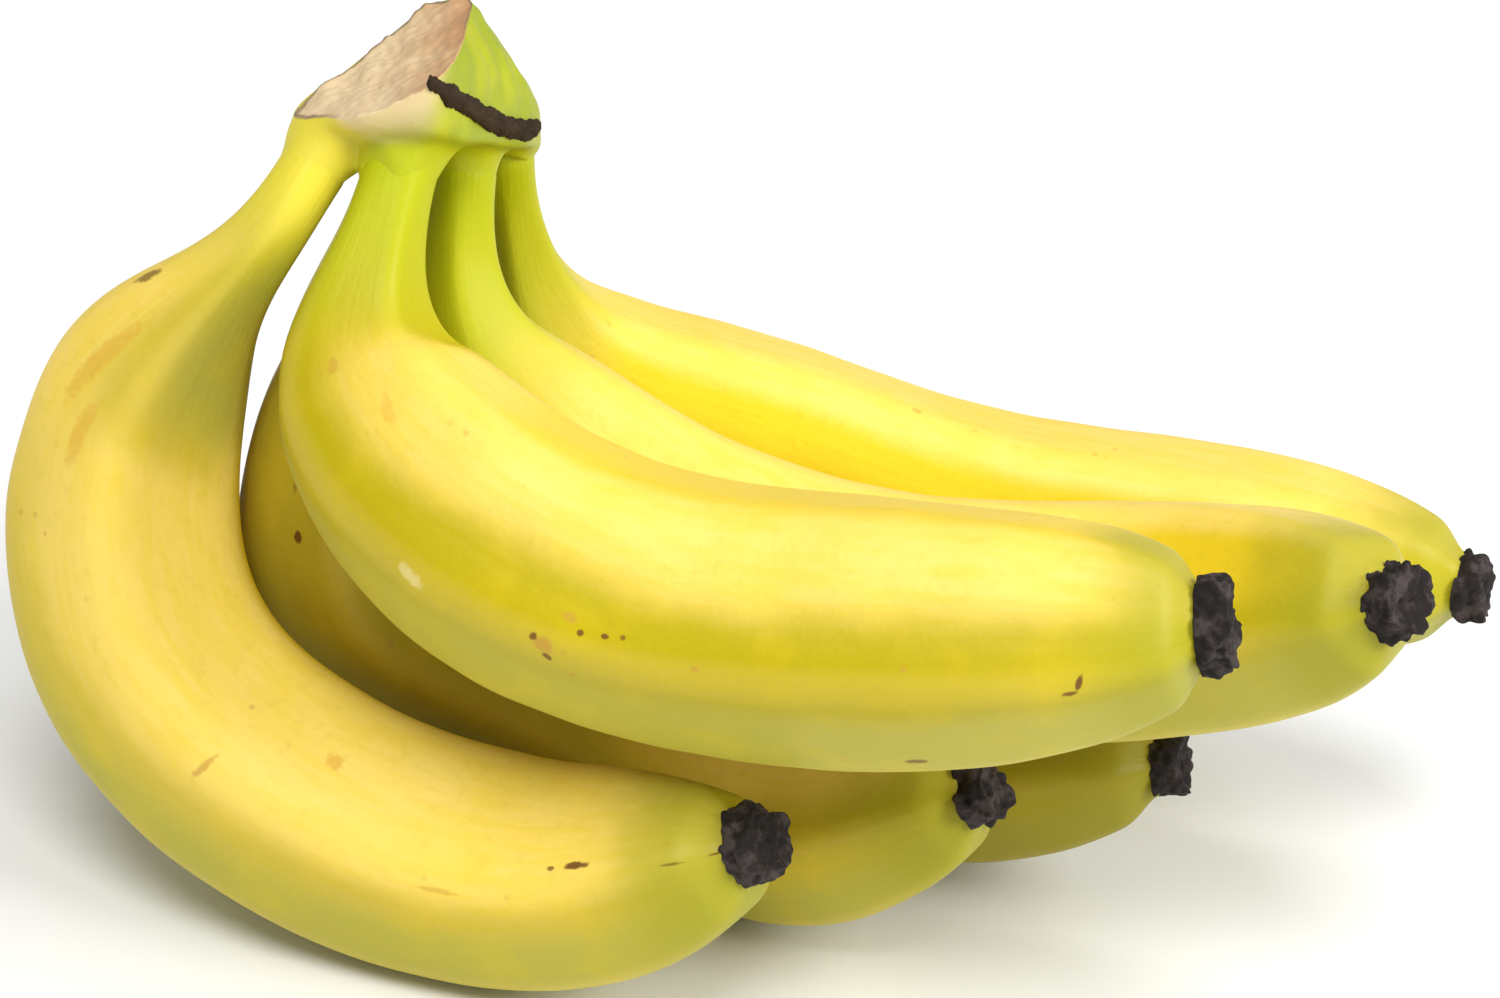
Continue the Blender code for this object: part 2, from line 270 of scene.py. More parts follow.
def carried_frames(line):
    """Two directions across the line at each point, turned along with it and never twisted:
    the first starts out towards the side away from the line's own bend."""
    ahead = unit(np.gradient(line, axis=0))
    bulge = line[len(line) // 2] - (line[0] + line[-1]) / 2
    across = unit(bulge - ahead[0] * (bulge @ ahead[0]))
    sideways = np.empty_like(line)
    for i, tangent in enumerate(ahead):
        across = unit(across - tangent * (across @ tangent))
        sideways[i] = across
    return sideways, np.cross(ahead, sideways)


def spokes(around, sideways, upwards):
    """The directions at these angles in the plane of the two across a line."""
    return (np.cos(around)[:, None] * sideways[..., None, :]
            + np.sin(around)[:, None] * upwards[..., None, :])


def soft_pentagon(angles, sharpness):
    """Radius of a five-sided outline with round corners: one over the power mean of how
    directly each side faces the angle. A higher sharpness gives flatter sides."""
    sides = np.arange(RIBS) * 2 * np.pi / RIBS + np.pi / RIBS
    facing = np.maximum(np.cos(angles[..., None] - sides), 0)
    return (facing ** sharpness).sum(-1) ** (-1 / sharpness)


def thickness(name, shares):
    """A finger's radius, in metres, at these shares of its route."""
    belly = ROUTES[name][0] * MM
    at, sizes = zip(*THICKNESS)
    return belly * natural_spline(at, sizes, shares)[:, 0]


def finger_surface(name, seed):
    """A grid of points, rings by sides: the centre line plus the local radius, times the soft
    pentagon (sharper near the neck and the tip than on the belly), times slow waves. It starts
    narrow, inside the crown, and is rounded off under the dried flower. With it come the
    directions out from the line, the shares along it, and a pattern from 1 on the ribs to 0."""
    line, shares = even_route(ROUTES[name][1], RINGS, TIP_BACK)
    around = np.linspace(0, 2 * np.pi, SIDES, endpoint=False)
    wander = np.radians(RIB_TURNS[name]) + 0.07 * np.sin(2 * np.pi * shares + seed)
    angles = around[None] - wander[:, None]
    belly = (smoothstep(0.20, 0.45, shares) * (1 - smoothstep(0.70, 0.92, shares)))[:, None]
    section = (soft_pentagon(angles, BELLY_SHARPNESS) * belly
               + soft_pentagon(angles, END_SHARPNESS) * (1 - belly))
    section /= section.mean(axis=1, keepdims=True)
    section = 1 + (section - 1) * smoothstep(0.02, 0.12, shares)[:, None]
    rib = soft_pentagon(angles, RIB_SHARPNESS)
    rib = (rib - rib.min()) / (rib.max() - rib.min())
    buried = 0.45 + 0.55 * smoothstep(0.0, 0.04, shares)
    rounded = 1 - 0.30 * smoothstep(0.955, shares[-1], shares) ** 2.2
    radius = SKIN_FIT * (thickness(name, shares) * buried * rounded)[:, None] * section
    outwards = spokes(around, *carried_frames(line))
    surface = line[:, None] + radius[..., None] * outwards
    swell = 0.010 * waves(surface, 0.045, seed) + 0.004 * waves(surface, 0.014, seed + 50)
    surface += (radius * swell)[..., None] * outwards
    return surface, outwards, shares, rib


def pressed(surface, name, lines):
    """The surface moved back, square to a neighbour's centre line, wherever it would come
    closer to that line than the neighbour's own radius."""
    for other, (line, radii) in lines.items():
        if other == name:
            continue
        flat = surface.reshape(-1, 3)
        centres = line[::4]
        gaps = np.linalg.norm(flat[:, None] - centres[None], axis=-1) - radii[::4][None]
        nearest = gaps.argmin(axis=1)
        push = np.maximum(TOUCH_GAP - gaps[np.arange(len(flat)), nearest], 0)
        away = unit(flat - centres[nearest])
        surface = (flat + away * push[:, None]).reshape(surface.shape)
    return surface


def block_planes():
    """Unit normals and offsets of the planes round the corners: of all planes through three
    corners, those that have every corner on one side."""
    corners = placed(CROWN_CORNERS)
    threes = zip(*itertools.combinations(range(len(corners)), 3))
    a, b, c = (corners[list(picks)] for picks in threes)
    normals = np.cross(b - a, c - a)
    solid = np.linalg.norm(normals, axis=1) > 1e-9
    normals = unit(normals[solid])
    offsets = (normals * a[solid]).sum(1)
    heights = normals @ corners.T - offsets[:, None]
    inside_out = heights.min(1) > -1e-7
    normals[inside_out] *= -1
    offsets[inside_out] *= -1
    outer = (heights.max(1) < 1e-7) | inside_out
    keys = np.round(np.c_[normals, offsets * 100][outer], 4)
    _, firsts = np.unique(keys, axis=0, return_index=True)
    return normals[outer][firsts], offsets[outer][firsts]


def crown_field(points):
    """Roughly the distance outside the crown, and how far a neck shapes it rather than the
    block: a smooth union of the block, which is the rounded greatest of the distances past
    its planes, and six stubs round the necks' lines, a little thicker than the necks at
    first and thinner than them further down."""
    normals, offsets = block_planes()
    past = (points @ normals.T - offsets) / BLOCK_ROUNDING
    top = past.max(-1)
    block = BLOCK_ROUNDING * (top + np.log(np.exp(past - top[..., None]).sum(-1))) + BLOCK_SHRINK
    total = solid = np.exp(-block / NECK_BLEND)
    for name in ROUTES:
        line, shares = even_route(ROUTES[name][1], NECK_ROUTE_POINTS)
        flare = NECK_FLARES.get(name, NECK_FLARE)
        radii = thickness(name, shares) + flare - (flare + NECK_THINNING) * shares / NECK_SHARE
        for centre, radius in zip(line[NECK_BALLS], radii[NECK_BALLS]):
            outside = np.linalg.norm(points - centre, axis=-1) - radius
            total = total + NECK_WEIGHT * np.exp(-outside / NECK_BLEND)
    return -NECK_BLEND * np.log(total), 1 - solid / total


def march(starts, directions):
    """How far rays go to leave the crown: the first of a row of steps outside it, then halved."""
    steps = np.linspace(0, RAY_LENGTH, RAY_STEPS)
    reach = np.full(directions.shape[:-1], RAY_LENGTH)
    found = np.zeros(reach.shape, bool)
    for step in steps[1:]:
        outside = crown_field(starts + directions * step)[0] > 0
        reach = np.where(outside & ~found, step, reach)
        found |= outside
    low, high = reach - steps[1], reach
    for _ in range(RAY_HALVINGS):
        middle = (low + high) / 2
        outside = crown_field(starts + directions * middle[..., None])[0] > 0
        low, high = np.where(outside, low, middle), np.where(outside, middle, high)
    return (low + high) / 2


def crown_surface():
    """A closed grid, rows by sides: from the middle of the knife's cut out to its rim, then
    down the sides and round under the crown, along rays from one point inside it that turn
    from the rim to straight down. With it come three patterns: 1 on the cut, 1 towards its
    rim, and how far a neck shapes the skin."""
    cut_normal = unit(np.array(CUT_NORMAL))
    centre = placed(CROWN_CENTRE)
    middle = placed(CUT_MIDDLE)
    middle = middle - cut_normal * ((middle - placed(CUT_POINT)) @ cut_normal)
    across = unit(np.cross(np.array((0.0, 1.0, 0.0)), cut_normal))
    angles = np.linspace(0, 2 * np.pi, CROWN_SIDES, endpoint=False)
    level = spokes(angles, across, np.cross(cut_normal, across))
    rim = middle + level * march(middle, level)[:, None]
    shares = np.linspace(0, 1, CUT_ROWS + 1)[1:] ** 0.8
    cut_rows = middle + shares[:, None, None] * (rim - middle)
    rough = (0.00030 * waves(cut_rows, 0.006, 12) + 0.00012 * waves(cut_rows, 0.0018, 13)
             - 0.0005 * (1 - shares[:, None] ** 4))
    cut_rows += rough[..., None] * cut_normal
    turns = np.linspace(0, 1, UNDER_ROWS + 1)[1:]
    to_rim = unit(rim - centre)
    down = unit(np.array(CROWN_DOWN))
    angle = np.arccos(np.clip(to_rim @ down, -1, 1))
    downwards = np.sin(turns[:, None] * angle) / np.sin(angle)
    rimwards = np.sin((1 - turns[:, None]) * angle) / np.sin(angle)
    directions = unit(downwards[..., None] * down + rimwards[..., None] * to_rim)
    sides = centre + directions * march(centre, directions)[..., None]
    rough = 0.00022 * waves(sides, 0.006, 11) * smoothstep(0, 0.06, turns)[:, None]
    sides += directions * rough[..., None]
    every_side = np.ones(CROWN_SIDES)
    cut = np.r_[np.ones(CUT_ROWS), np.zeros(UNDER_ROWS)][:, None] * every_side
    edge = np.r_[shares, 1 - turns][:, None] * every_side
    neck = np.concatenate([np.zeros((CUT_ROWS, CROWN_SIDES)), crown_field(sides)[1]])
    return np.concatenate([cut_rows, sides]), {"cut": cut, "edge": edge, "neck": neck}


def flower_surface(name, seed, length):
    """A grid of points, rows by sides: the rows of the flower's shape round the end of a
    finger's line, as soft pentagons, crumpled by fine waves."""
    line, shares = even_route(ROUTES[name][1], RINGS)
    tip = line[-1]
    ahead = unit(tip - line[-12])
    sideways, upwards = carried_frames(line)
    radius = thickness(name, shares)[-1] * FLOWER_GIRTHS.get(name, FLOWER_GIRTH)
    rows = np.linspace(0, 1, FLOWER_ROWS)
    around = np.linspace(0, 2 * np.pi, FLOWER_SIDES, endpoint=False)
    at, girths, heights = zip(*FLOWER_SHAPE)
    girth = np.interp(rows, at, girths)[:, None]
    lift = np.interp(rows, at, heights)[:, None, None] * length / FLOWER_SHAPE_LENGTH
    section = soft_pentagon(around, FLOWER_SHARPNESS)
    section /= section.mean()
    points = (tip + lift * ahead
              + (radius * girth * section)[..., None] * spokes(around, sideways[-1], upwards[-1]))
    crumple = 0.0006 * waves(points, 0.0045, seed) + 0.0003 * waves(points, 0.0018, seed + 9)
    outwards = unit(points - tip + ahead * 0.003)
    return points + outwards * (crumple * (girth > 0.05))[..., None]


def bract_surface():
    """A grid of points, rings by sides: an oval strip along its route, laid on the crown, lower
    and thinner towards both ends, with a rough skin."""
    centre = placed(CROWN_CENTRE)
    at = np.linspace(0, 1, BRACT_RINGS)
    line = natural_spline(np.linspace(0, 1, len(BRACT_ROUTE)), placed(BRACT_ROUTE), at)
    outwards = unit(line - centre)
    line = centre + outwards * march(centre, outwards)[:, None]
    upwards = unit(np.cross(outwards, unit(np.gradient(line, axis=0))))
    around = np.linspace(0, 2 * np.pi, BRACT_SIDES, endpoint=False)
    taper = np.clip(np.sin(np.pi * at), 0, 1) ** 0.35
    high = BRACT_HEIGHT * (0.35 + 0.65 * taper) * (1 + 0.15 * waves(line, 0.006, 3))
    thick = BRACT_DEPTH * (0.5 + 0.5 * taper)
    surface = (line[:, None] + (thick[:, None] * np.cos(around))[..., None] * outwards[:, None]
               + (high[:, None] * np.sin(around))[..., None] * upwards[:, None])
    rough = 0.00016 * waves(surface, 0.0030, 5) + 0.00010 * waves(surface, 0.0010, 6)
    return surface + rough[..., None] * unit(surface - line[:, None])


# ---------------------------------------------------------------- meshes

def put_in_scene(name, data):
    obj = bpy.data.objects.new(name, data)
    bpy.context.scene.collection.objects.link(obj)
    return obj


def closed_grid(name, surface, attributes=None, flip=False):
    """A mesh from a grid of rings by sides: quads between the rings, a fan to the middle of
    each end ring, a UV map of (around, along), and a value for each point and attribute."""
    rings, sides = surface.shape[:2]
    count = rings * sides
    middles = surface[0].mean(0)[None], surface[-1].mean(0)[None]
    points = np.concatenate([surface.reshape(-1, 3), *middles])
    here = np.arange(sides)
    after = (here + 1) % sides
    low = (np.arange(rings - 1) * sides)[:, None]
    quads = np.stack([low + here, low + after, low + sides + after, low + sides + here], -1)
    quads = quads.reshape(-1, 4)
    last = (rings - 1) * sides
    first_fan = np.stack([after, here, np.full(sides, count)], -1)
    last_fan = np.stack([last + here, last + after, np.full(sides, count + 1)], -1)
    fans = np.concatenate([first_fan, last_fan])
    if flip:
        quads = quads[:, ::-1]
        fans = fans[:, ::-1]
    corners = np.concatenate([quads.ravel(), fans.ravel()])
    starts = np.concatenate([np.arange(len(quads)) * 4, quads.size + np.arange(len(fans)) * 3])
    mesh = bpy.data.meshes.new(name)
    mesh.vertices.add(len(points))
    mesh.vertices.foreach_set("co", points.astype(np.float32).ravel())
    mesh.loops.add(len(corners))
    mesh.loops.foreach_set("vertex_index", corners.astype(np.int32))
    mesh.polygons.add(len(starts))
    mesh.polygons.foreach_set("loop_start", starts.astype(np.int32))
    around = np.r_[np.tile(here / sides, rings), 0.5, 0.5][corners]
    along = np.r_[np.repeat(np.arange(rings) / (rings - 1), sides), 0.0, 1.0][corners]
    seam = (corners % sides == 0) & (corners < count)
    owner = np.r_[np.repeat(np.arange(len(quads)), 4),
                  len(quads) + np.repeat(np.arange(len(fans)), 3)]
    wraps = np.bincount(owner, weights=around > 0.5) > 0
    around = np.where(seam & wraps[owner], 1.0, around)
    layer = mesh.uv_layers.new(name="skin")
    layer.data.foreach_set("uv", np.stack([around, along], -1).astype(np.float32).ravel())
    for title, values in (attributes or {}).items():
        values = np.r_[values.ravel(), values[0].mean(), values[-1].mean()]
        attribute = mesh.attributes.new(title, "FLOAT", "POINT")
        attribute.data.foreach_set("value", values.astype(np.float32))
    mesh.polygons.foreach_set("use_smooth", np.ones(len(starts), bool))
    mesh.update(calc_edges=True)
    mesh.validate()
    return put_in_scene(name, mesh)


# ---------------------------------------------------------------- materials

class Value:
    """A number that a material works out: arithmetic on it adds the Math nodes."""

    def __init__(self, tree, socket):
        self.tree = tree
        self.socket = socket

    def math(self, operation, *others, swapped=False):
        node = self.tree.nodes.new("ShaderNodeMath")
        node.operation = operation
        terms = (self, *others)
        for socket, term in zip(node.inputs, reversed(terms) if swapped else terms):
            put(self.tree, socket, term)
        return Value(self.tree, node.outputs[0])

    def __add__(self, other):
        return self.math("ADD", other)

    def __sub__(self, other):
        return self.math("SUBTRACT", other)

    def __mul__(self, other):
        return self.math("MULTIPLY", other)

    def __truediv__(self, other):
        return self.math("DIVIDE", other)

    def __rsub__(self, other):
        return self.math("SUBTRACT", other, swapped=True)

    __radd__ = __add__

    def step(self, low, high):
        """0 below low, 1 above high, and a smooth rise between; high may be the lower one."""
        node = self.tree.nodes.new("ShaderNodeMapRange")
        node.interpolation_type = "SMOOTHSTEP"
        for socket, term in zip(node.inputs, (self, low, high, 0.0, 1.0)):
            put(self.tree, socket, term)
        return Value(self.tree, node.outputs[0])


def put(tree, socket, value):
    """Links the socket to a Value, or sets it to a plain number, vector or colour."""
    if isinstance(value, Value):
        tree.links.new(value.socket, socket)
    elif socket.type == "RGBA":
        socket.default_value = (*value, 1.0)
    else:
        socket.default_value = value


class Finish:
    """A material under construction: its node tree, and one method that adds any node."""

    def __init__(self, name, **constants):
        self.material = bpy.data.materials.new(name)
        self.material.use_nodes = True
        self.tree = self.material.node_tree
        self.shader = self.tree.nodes["Principled BSDF"]
        for title, value in constants.items():
            self.set(title.replace("_", " "), value)

    def set(self, title, value):
        names = {socket.name.lower(): socket for socket in self.shader.inputs}
        put(self.tree, names[title.lower()], value)

    def node(self, kind, settings=None, values=None, output=0):
        node = self.tree.nodes.new("ShaderNode" + kind)
        for title, value in (settings or {}).items():
            setattr(node, title, value)
        for title, value in (values or {}).items():
            put(self.tree, node.inputs[title], value)
        return Value(self.tree, node.outputs[output])

    def place(self):
        return self.node("TexCoord", output="Object")

    def part(self, axis, vector):
        return self.node("SeparateXYZ", values={"Vector": vector}, output=axis)

    def attribute(self, title):
        return self.node("Attribute", {"attribute_name": title}, output="Fac")

    def noise(self, scale, detail=2.0, vector=None, roughness=0.5):
        values = {"Vector": vector or self.place(), "Scale": scale, "Detail": detail,
                  "Roughness": roughness}
        return self.node("TexNoise", values=values)

    def stretched(self, scale):
        """The place, longer or shorter along each axis, for patterns with a grain."""
        return self.node("Mapping", values={"Vector": self.place(), "Scale": scale})

    def around(self):
        """The share of the girth, from the skin's own map."""
        return self.part("X", self.node("UVMap", {"uv_map": "skin"}))

    def grain(self, across, ahead):
        """Streaks along a finger: noise wrapped round the girth, so that it has no seam."""
        turn = self.around() * (2 * np.pi)
        wrapped = self.node("CombineXYZ", values={
            "X": turn.math("COSINE") * across, "Y": turn.math("SINE") * across,
            "Z": self.attribute("along") * ahead})
        return self.noise(1.0, 3.0, vector=wrapped)

    def mark(self, name, along, around, length, width, turn):
        """1 in a soft ragged spot on a finger's skin and 0 outside it: its middle as shares of
        the finger's length and girth, its length and width in millimetres, and its turn."""
        skin = self.node("UVMap", {"uv_map": "skin"})
        across = (self.part("X", skin) - around) * (2 * np.pi * ROUTES[name][0])
        ahead = (self.part("Y", skin) - along / SKIN_SHARE) * (FINGER_LENGTH * SKIN_SHARE)
        turn = np.radians(turn)
        x = (ahead * np.cos(turn) + across * np.sin(turn)) / (length / 2)
        y = (across * np.cos(turn) - ahead * np.sin(turn)) / (width / 2)
        ragged = (self.noise(900.0, 3.0) - 0.5) * 1.8
        return (x * x + y * y + ragged).step(1.25, 0.2)

    def mix(self, factor, first, second):
        """The first colour where the factor is 0, the second where it is 1."""
        return self.node("Mix", {"data_type": "RGBA"}, {0: factor, 6: first, 7: second}, output=2)

    def bump(self, height, distance, strength=1.0):
        values = {"Height": height, "Distance": distance, "Strength": strength}
        return self.node("Bump", values=values)


def skin_finish(name, colours, green_reach):
    """Ripe skin, in layers: pale yellow with golden streaks, golden painted shade on some facets,
    deeper painted shade on the flanks and a greener one below, paler ribs, mottling and freckles,
    green at the neck, a darker tip, painted shade over a whole finger, and the finger's own marks,
    all under a soft waxy sheen."""
    finish = Finish(name + "_skin", ior=1.42, specular_ior_level=0.22, subsurface_weight=0.05,
                    subsurface_scale=0.003, subsurface_radius=(1.0, 0.6, 0.15),
                    coat_roughness=0.28, coat_weight=0.05)
    tone = SKIN_TONES[name]
    along = finish.attribute("along")
    rib = finish.attribute("rib")
    up = finish.attribute("up")
    around = finish.around()
    slow = finish.noise(26.0, 3.0)
    medium = finish.noise(95.0, 3.0)
    streaks = finish.grain(9.0, 16.0)
    facing = up + (slow - 0.5) * 0.30
    # Painted shade on the flanks: a darker colour where the skin faces less up.
    shaded_flank = (facing + (medium - 0.5) * 0.12).step(tone.high, tone.low) * tone.shaded_flank
    shaded_flank = shaded_flank * around.step(tone.bare - 0.04, tone.bare + 0.04)
    # Painted shade below: a darker, greener colour where the skin faces down.
    under = facing.step(0.02, -0.45)
    reach = green_reach * tone.reach
    neck = along + (slow - 0.5) * 0.07 - rib * 0.012 + (streaks - 0.5) * 0.04
    neck = neck.step(reach * 1.3, reach * 0.45) * tone.green
    tip = (along + (medium - 0.5) * 0.06).step(0.87, 0.97) * 0.80
    colour = finish.mix((streaks * 0.6 + slow * 0.4).step(0.42, 0.62) * 0.35,
                        colours.ripe, colours.golden)
    # Painted shade on the facets that turn from the light, in the golden colour.
    for first, last, start, strength in SHADED_FACETS.get(name, ()):
        band = around.step(first - 0.015, first + 0.02) * around.step(last + 0.02, last - 0.02)
        band = band * along.step(start, start + 0.12)
        colour = finish.mix(band * strength, colour, colours.golden)
    colour = finish.mix(shaded_flank, colour, colours.shaded_flank)
    colour = finish.mix(under, colour, colours.underside_shade)
    colour = finish.mix(rib.step(0.60, 1.0) * 0.20, colour, colours.ripe)
    colour = finish.mix(medium.step(0.45, 0.75) * 0.22, colour, colours.golden)
    freckles = finish.node("TexVoronoi", values={"Vector": finish.place(), "Scale": 230.0},
                           output="Distance")
    patches = finish.noise(60.0, 2.0).step(0.56, 0.66)
    colour = finish.mix(freckles.step(0.16, 0.07) * patches * 0.45, colour, STAINS["tan"])
    specks = finish.noise(420.0, 3.0).step(0.52, 0.80)
    colour = finish.mix(specks * 0.16, colour, colours.shaded_flank)
    colour = finish.mix(neck, colour, colours.green)
    if tone.pale_neck:
        colour = finish.mix(along.step(0.11, 0.04), colour, colours.neck_top)
    else:
        colour = finish.mix(along.step(0.10, 0.05) * 0.9, colour, colours.green)
    colour = finish.mix(tip, colour, colours.tip)
    # Painted shade: a whole finger darker, as if it lay in the others' shadow.
    colour = finish.mix(tone.shade, colour, SHADED_SKIN)
    for *spot, strength, stain in MARKS.get(name, ()):
        colour = finish.mix(finish.mark(name, *spot) * strength, colour, STAINS[stain])
    finish.set("Base Color", colour)
    pores = finish.noise(900.0, 2.0)
    ripple = finish.noise(260.0, 2.0)
    finish.set("Roughness", 0.40 + medium * 0.10 + neck * 0.06)
    finish.set("Normal", finish.bump(pores * 0.4 + ripple * 0.5 + streaks * 0.7, 0.00016, 0.9))
    return finish.material


def crown_finish(colours):
    """Skin on the sides, yellow on the left and green on the right, with the necks' colours
    where they grow out and a cream band under the cut's near edge; the cut is dry and fibrous,
    cream at its low end and browner at its high end, with a thin dark rim at the back. The
    places where the colours change are in millimetres."""
    finish = Finish("crown", ior=1.42, subsurface_weight=0.05, subsurface_scale=0.003,
                    subsurface_radius=(1.0, 0.6, 0.2))
    cut = finish.attribute("cut")
    edge = finish.attribute("edge")
    neck = finish.attribute("neck")
    place = finish.place()
    right = finish.part("X", place) * 1000.0
    back = finish.part("Y", place) * 1000.0 - right * 0.6
    slow = finish.noise(110.0, 3.0)
    fine = finish.noise(800.0, 3.0)
    fibres = finish.noise(900.0, 3.0, vector=finish.stretched((1.0, 0.35, 0.4)))
    left = (right + (slow - 0.5) * 6.0).step(-68.0, -74.0)
    skin = finish.mix(slow.step(0.40, 0.70) * 0.6, colours.crown_green, colours.crown_yellow)
    necks = finish.mix(left, colours.green, colours.neck_top)
    by_neck = (neck + (slow - 0.5) * 0.3).step(0.15, 0.75)
    by_neck = 1 - (1 - by_neck) * (1 - right.step(-63.0, -69.0))
    skin = finish.mix(by_neck, skin, necks)
    pale = (edge + (slow - 0.5) * 0.08).step(0.80, 0.99) * back.step(48.0, 40.0)
    pale = pale * right.step(-57.0, -62.0) * (1 - neck.step(0.5, 0.9))
    skin = finish.mix(pale * 0.85, skin, colours.cut_light)
    flesh = finish.mix((right + (slow - 0.5) * 12.0).step(-70.0, -55.0),
                       colours.cut_light, colours.cut_dark)
    flesh = finish.mix(fibres.step(0.45, 0.75) * 0.30, flesh, colours.cut_dark)
    rim = (edge + (fine - 0.5) * 0.03).step(0.94, 0.985) * back.step(42.0, 50.0)
    flesh = finish.mix(rim * 0.8, flesh, CUT_RIM)
    finish.set("Base Color", finish.mix(cut, skin, flesh))
    finish.set("Roughness", 0.5 + cut * 0.25)
    finish.set("Normal", finish.bump(fine * 0.6 + fibres * 0.4 * cut, 0.00018, 0.8))
    return finish.material


def dried_finish(name, dark, patch_colour):
    """Dead tissue: dark and rough, creased, with a paler colour in patches, which on the dried flowers is
    a painted glint.
    """
    finish = Finish(name, specular_ior_level=0.3)
    creases = finish.noise(600.0, 4.0, roughness=0.65)
    coarse = finish.noise(220.0, 3.0)
    # A paler colour where the creases rise: on the dried flowers, painted glints.
    finish.set("Base Color", finish.mix((creases * coarse * 2).step(0.4, 0.75), dark, patch_colour))
    finish.set("Roughness", 0.75 + creases * 0.2)
    finish.set("Normal", finish.bump(creases, 0.0005, 0.9))
    return finish.material


# ---------------------------------------------------------------- settings

def colour_property(name, description, default):
    return bpy.props.FloatVectorProperty(name=name, description=description, default=default,
                                         subtype="COLOR", size=3, min=0.0, max=1.0)


class BUNCH_PG_colours(bpy.types.PropertyGroup):
    ripe: colour_property("Ripe skin", "Skin on top of a finger", (0.92, 0.68, 0.135))
    # Golden streaks and patches; on some facets this colour is painted shade.
    golden: colour_property("Golden skin", "Skin on a finger's deeper facets", (0.84, 0.60, 0.006))
    # Painted shade: the darker colour of a finger's flanks, which its fine specks take too.
    shaded_flank: colour_property("Flank skin", "Skin on a finger's sides", (0.50, 0.40, 0.003))
    # Painted shade: the darker, greener colour of a finger's underside.
    underside_shade: colour_property("Olive skin", "Skin on the underside of a finger", (0.50, 0.45, 0.055))
    green: colour_property("Green skin", "Skin at the necks", (0.46, 0.50, 0.003))
    neck_top: colour_property("Pale neck", "Top of the neck that turned first", (0.80, 0.68, 0.05))
    tip: colour_property("Tip skin", "Skin round the dried flowers", (0.36, 0.34, 0.015))
    crown_green: colour_property("Crown skin, green", "Green skin on the crown", (0.31, 0.37, 0.015))
    crown_yellow: colour_property("Crown skin, yellow", "Riper skin on the crown", (0.50, 0.50, 0.008))
    cut_light: colour_property("Cut, light", "Fresh part of the crown's cut", (0.80, 0.61, 0.36))
    cut_dark: colour_property("Cut, dark", "Dried part of the crown's cut", (0.58, 0.32, 0.15))
    flower: colour_property("Dried flower", "Dead flower on each tip", (0.012, 0.008, 0.007))
    bract: colour_property("Dried bract", "Dead base of the bract", (0.022, 0.011, 0.003))


class BUNCH_PG_sizes(bpy.types.PropertyGroup):
    green_reach: bpy.props.FloatProperty(
        name="Green reach", description="Share of a finger's length that stays green",
        default=0.16, min=0.0, max=0.6, subtype="FACTOR")
    flower_length: bpy.props.FloatProperty(
        name="Flower length", description="Length of a dried flower",
        default=0.007, min=0.002, max=0.02, unit="LENGTH")


# ---------------------------------------------------------------- operators

def finish_piece(piece, material, node):
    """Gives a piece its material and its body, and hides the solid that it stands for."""
    piece.data.materials.append(material)
    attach(piece, BODY)
    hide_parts(node)


class BUNCH_OT_fingers(bpy.types.Operator):
    """Makes the six fingers"""
    bl_idname = "bunch.fingers"
    bl_label = "Fingers"

    def execute(self, context):
        colours = context.scene.bunch_colours
        sizes = context.scene.bunch_sizes
        lines = {}
        for name in ROUTES:
            line, shares = even_route(ROUTES[name][1], RINGS, TIP_BACK)
            lines[name] = (line, thickness(name, shares))
        for seed, name in enumerate(ROUTES):
            surface, outwards, shares, rib = finger_surface(name, seed)
            surface = pressed(surface, name, lines)
            along = np.repeat(shares[:, None], SIDES, axis=1)
            values = {"along": along, "rib": rib, "up": outwards[..., 2]}
            piece = closed_grid(name.replace("finger", "skin"), surface, values)
            finish_piece(piece, skin_finish(name, colours, sizes.green_reach), name)
        return {"FINISHED"}


class BUNCH_OT_crown(bpy.types.Operator):
    """Makes the crown that the fingers grow from"""
    bl_idname = "bunch.crown"
    bl_label = "Crown"

    def execute(self, context):
        surface, values = crown_surface()
        piece = closed_grid("crown_body", surface, values, flip=True)
        finish_piece(piece, crown_finish(context.scene.bunch_colours), "crown")
        return {"FINISHED"}


class BUNCH_OT_dried_flowers(bpy.types.Operator):
    """Makes the dried flower on each tip"""
    bl_idname = "bunch.dried_flowers"
    bl_label = "Dried flowers"

    def execute(self, context):
        colours = context.scene.bunch_colours
        length = context.scene.bunch_sizes.flower_length
        material = dried_finish("dried_flower", colours.flower, FLOWER_GLINT)
        for number, name in enumerate(ROUTES, start=1):
            piece = closed_grid(f"flower_{number}", flower_surface(name, number, length))
            finish_piece(piece, material, f"dried_flower_{number}")
        return {"FINISHED"}


class BUNCH_OT_bract_base(bpy.types.Operator):
    """Makes the dried base of the bract along the crown's lower edge"""
    bl_idname = "bunch.bract_base"
    bl_label = "Bract base"

    def execute(self, context):
        colours = context.scene.bunch_colours
        piece = closed_grid("bract_strip", bract_surface(), flip=True)
        material = dried_finish("dried_bract", colours.bract, BRACT_DUST)
        finish_piece(piece, material, "bract_base")
        return {"FINISHED"}


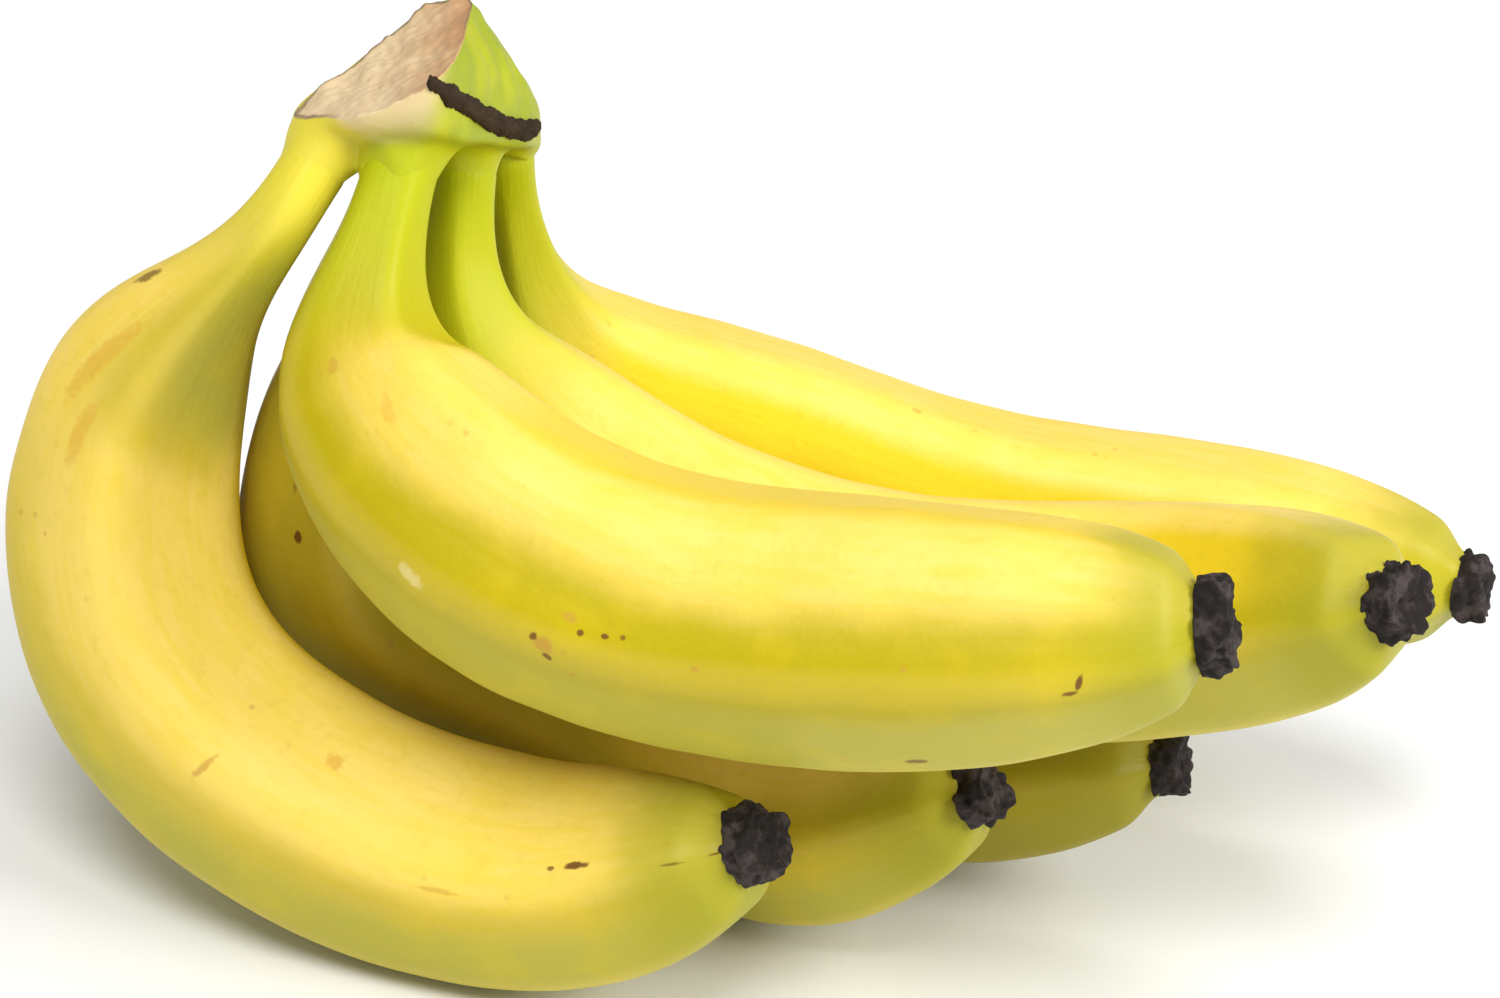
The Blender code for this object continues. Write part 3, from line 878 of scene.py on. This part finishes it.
class BUNCH_OT_stage(bpy.types.Operator):
    """Makes the floor, the lights and the camera"""
    bl_idname = "bunch.stage"
    bl_label = "Stage"

    def execute(self, context):
        scene = context.scene
        mesh = bpy.data.meshes.new("floor")
        low, high = -FLOOR_HALF, FLOOR_HALF
        mesh.from_pydata([(low, low, 0), (high, low, 0), (high, high, 0), (low, high, 0)],
                         [], [(0, 1, 2, 3)])
        floor = put_in_scene("floor", mesh)
        mesh.materials.append(Finish("floor", base_color=FLOOR_COLOUR, roughness=0.9).material)
        world = bpy.data.worlds.new("studio")
        world.use_nodes = True
        background = world.node_tree.nodes["Background"]
        background.inputs["Color"].default_value = (1.0, 1.0, 1.0, 1.0)
        background.inputs["Strength"].default_value = WORLD_STRENGTH
        scene.world = world
        for lamp in LAMPS:
            self.add_lamp(*lamp)
        camera = bpy.data.cameras.new("camera")
        camera.sensor_width = SENSOR
        camera.lens = CAMERA_LENS
        eye = put_in_scene("camera", camera)
        gaze = Vector(CAMERA_LOOKS_AT) - Vector(CAMERA_AT)
        turned = gaze.to_track_quat("-Z", "Y").to_matrix().to_4x4()
        roll = Matrix.Rotation(np.radians(CAMERA_ROLL), 4, "Z")
        eye.matrix_world = Matrix.Translation(CAMERA_AT) @ turned @ roll
        scene.camera = eye
        scene.view_settings.view_transform = "Standard"
        return {"FINISHED"}

    def add_lamp(self, kind, name, place, power, breadth):
        """A lamp aimed at the bunch; its breadth is a disc's size or a sun's angle."""
        light = bpy.data.lights.new(name, kind)
        light.energy = power
        if kind == "SUN":
            light.angle = breadth
        else:
            light.shape = "DISK"
            light.size = breadth
        lamp = put_in_scene(name, light)
        lamp.location = place
        aim = Vector(LAMPS_AIM_AT) - Vector(place)
        lamp.rotation_euler = aim.to_track_quat("-Z", "Y").to_euler()


class BUNCH_PT_panel(bpy.types.Panel):
    """Shows the settings, and a button for each operator"""
    bl_label = "Banana bunch"
    bl_idname = "BUNCH_PT_panel"
    bl_space_type = "VIEW_3D"
    bl_region_type = "UI"
    bl_category = "Bananas"

    def draw(self, context):
        for group in (context.scene.bunch_sizes, context.scene.bunch_colours):
            for title in group.__annotations__:
                self.layout.prop(group, title)
        for operator in OPERATORS:
            self.layout.operator(operator.bl_idname)


OPERATORS = (BUNCH_OT_fingers, BUNCH_OT_crown, BUNCH_OT_dried_flowers, BUNCH_OT_bract_base,
             BUNCH_OT_stage)
CLASSES = (BUNCH_PG_colours, BUNCH_PG_sizes, *OPERATORS, BUNCH_PT_panel)


def register():
    for cls in CLASSES:
        bpy.utils.register_class(cls)
    bpy.types.Scene.bunch_colours = bpy.props.PointerProperty(type=BUNCH_PG_colours)
    bpy.types.Scene.bunch_sizes = bpy.props.PointerProperty(type=BUNCH_PG_sizes)


def unregister():
    del bpy.types.Scene.bunch_sizes
    del bpy.types.Scene.bunch_colours
    for cls in reversed(CLASSES):
        bpy.utils.unregister_class(cls)


def main():
    register()
    bpy.ops.bunch.fingers()
    bpy.ops.bunch.crown()
    bpy.ops.bunch.dried_flowers()
    bpy.ops.bunch.bract_base()
    bpy.ops.bunch.stage()


if __name__ == "__main__":
    main()
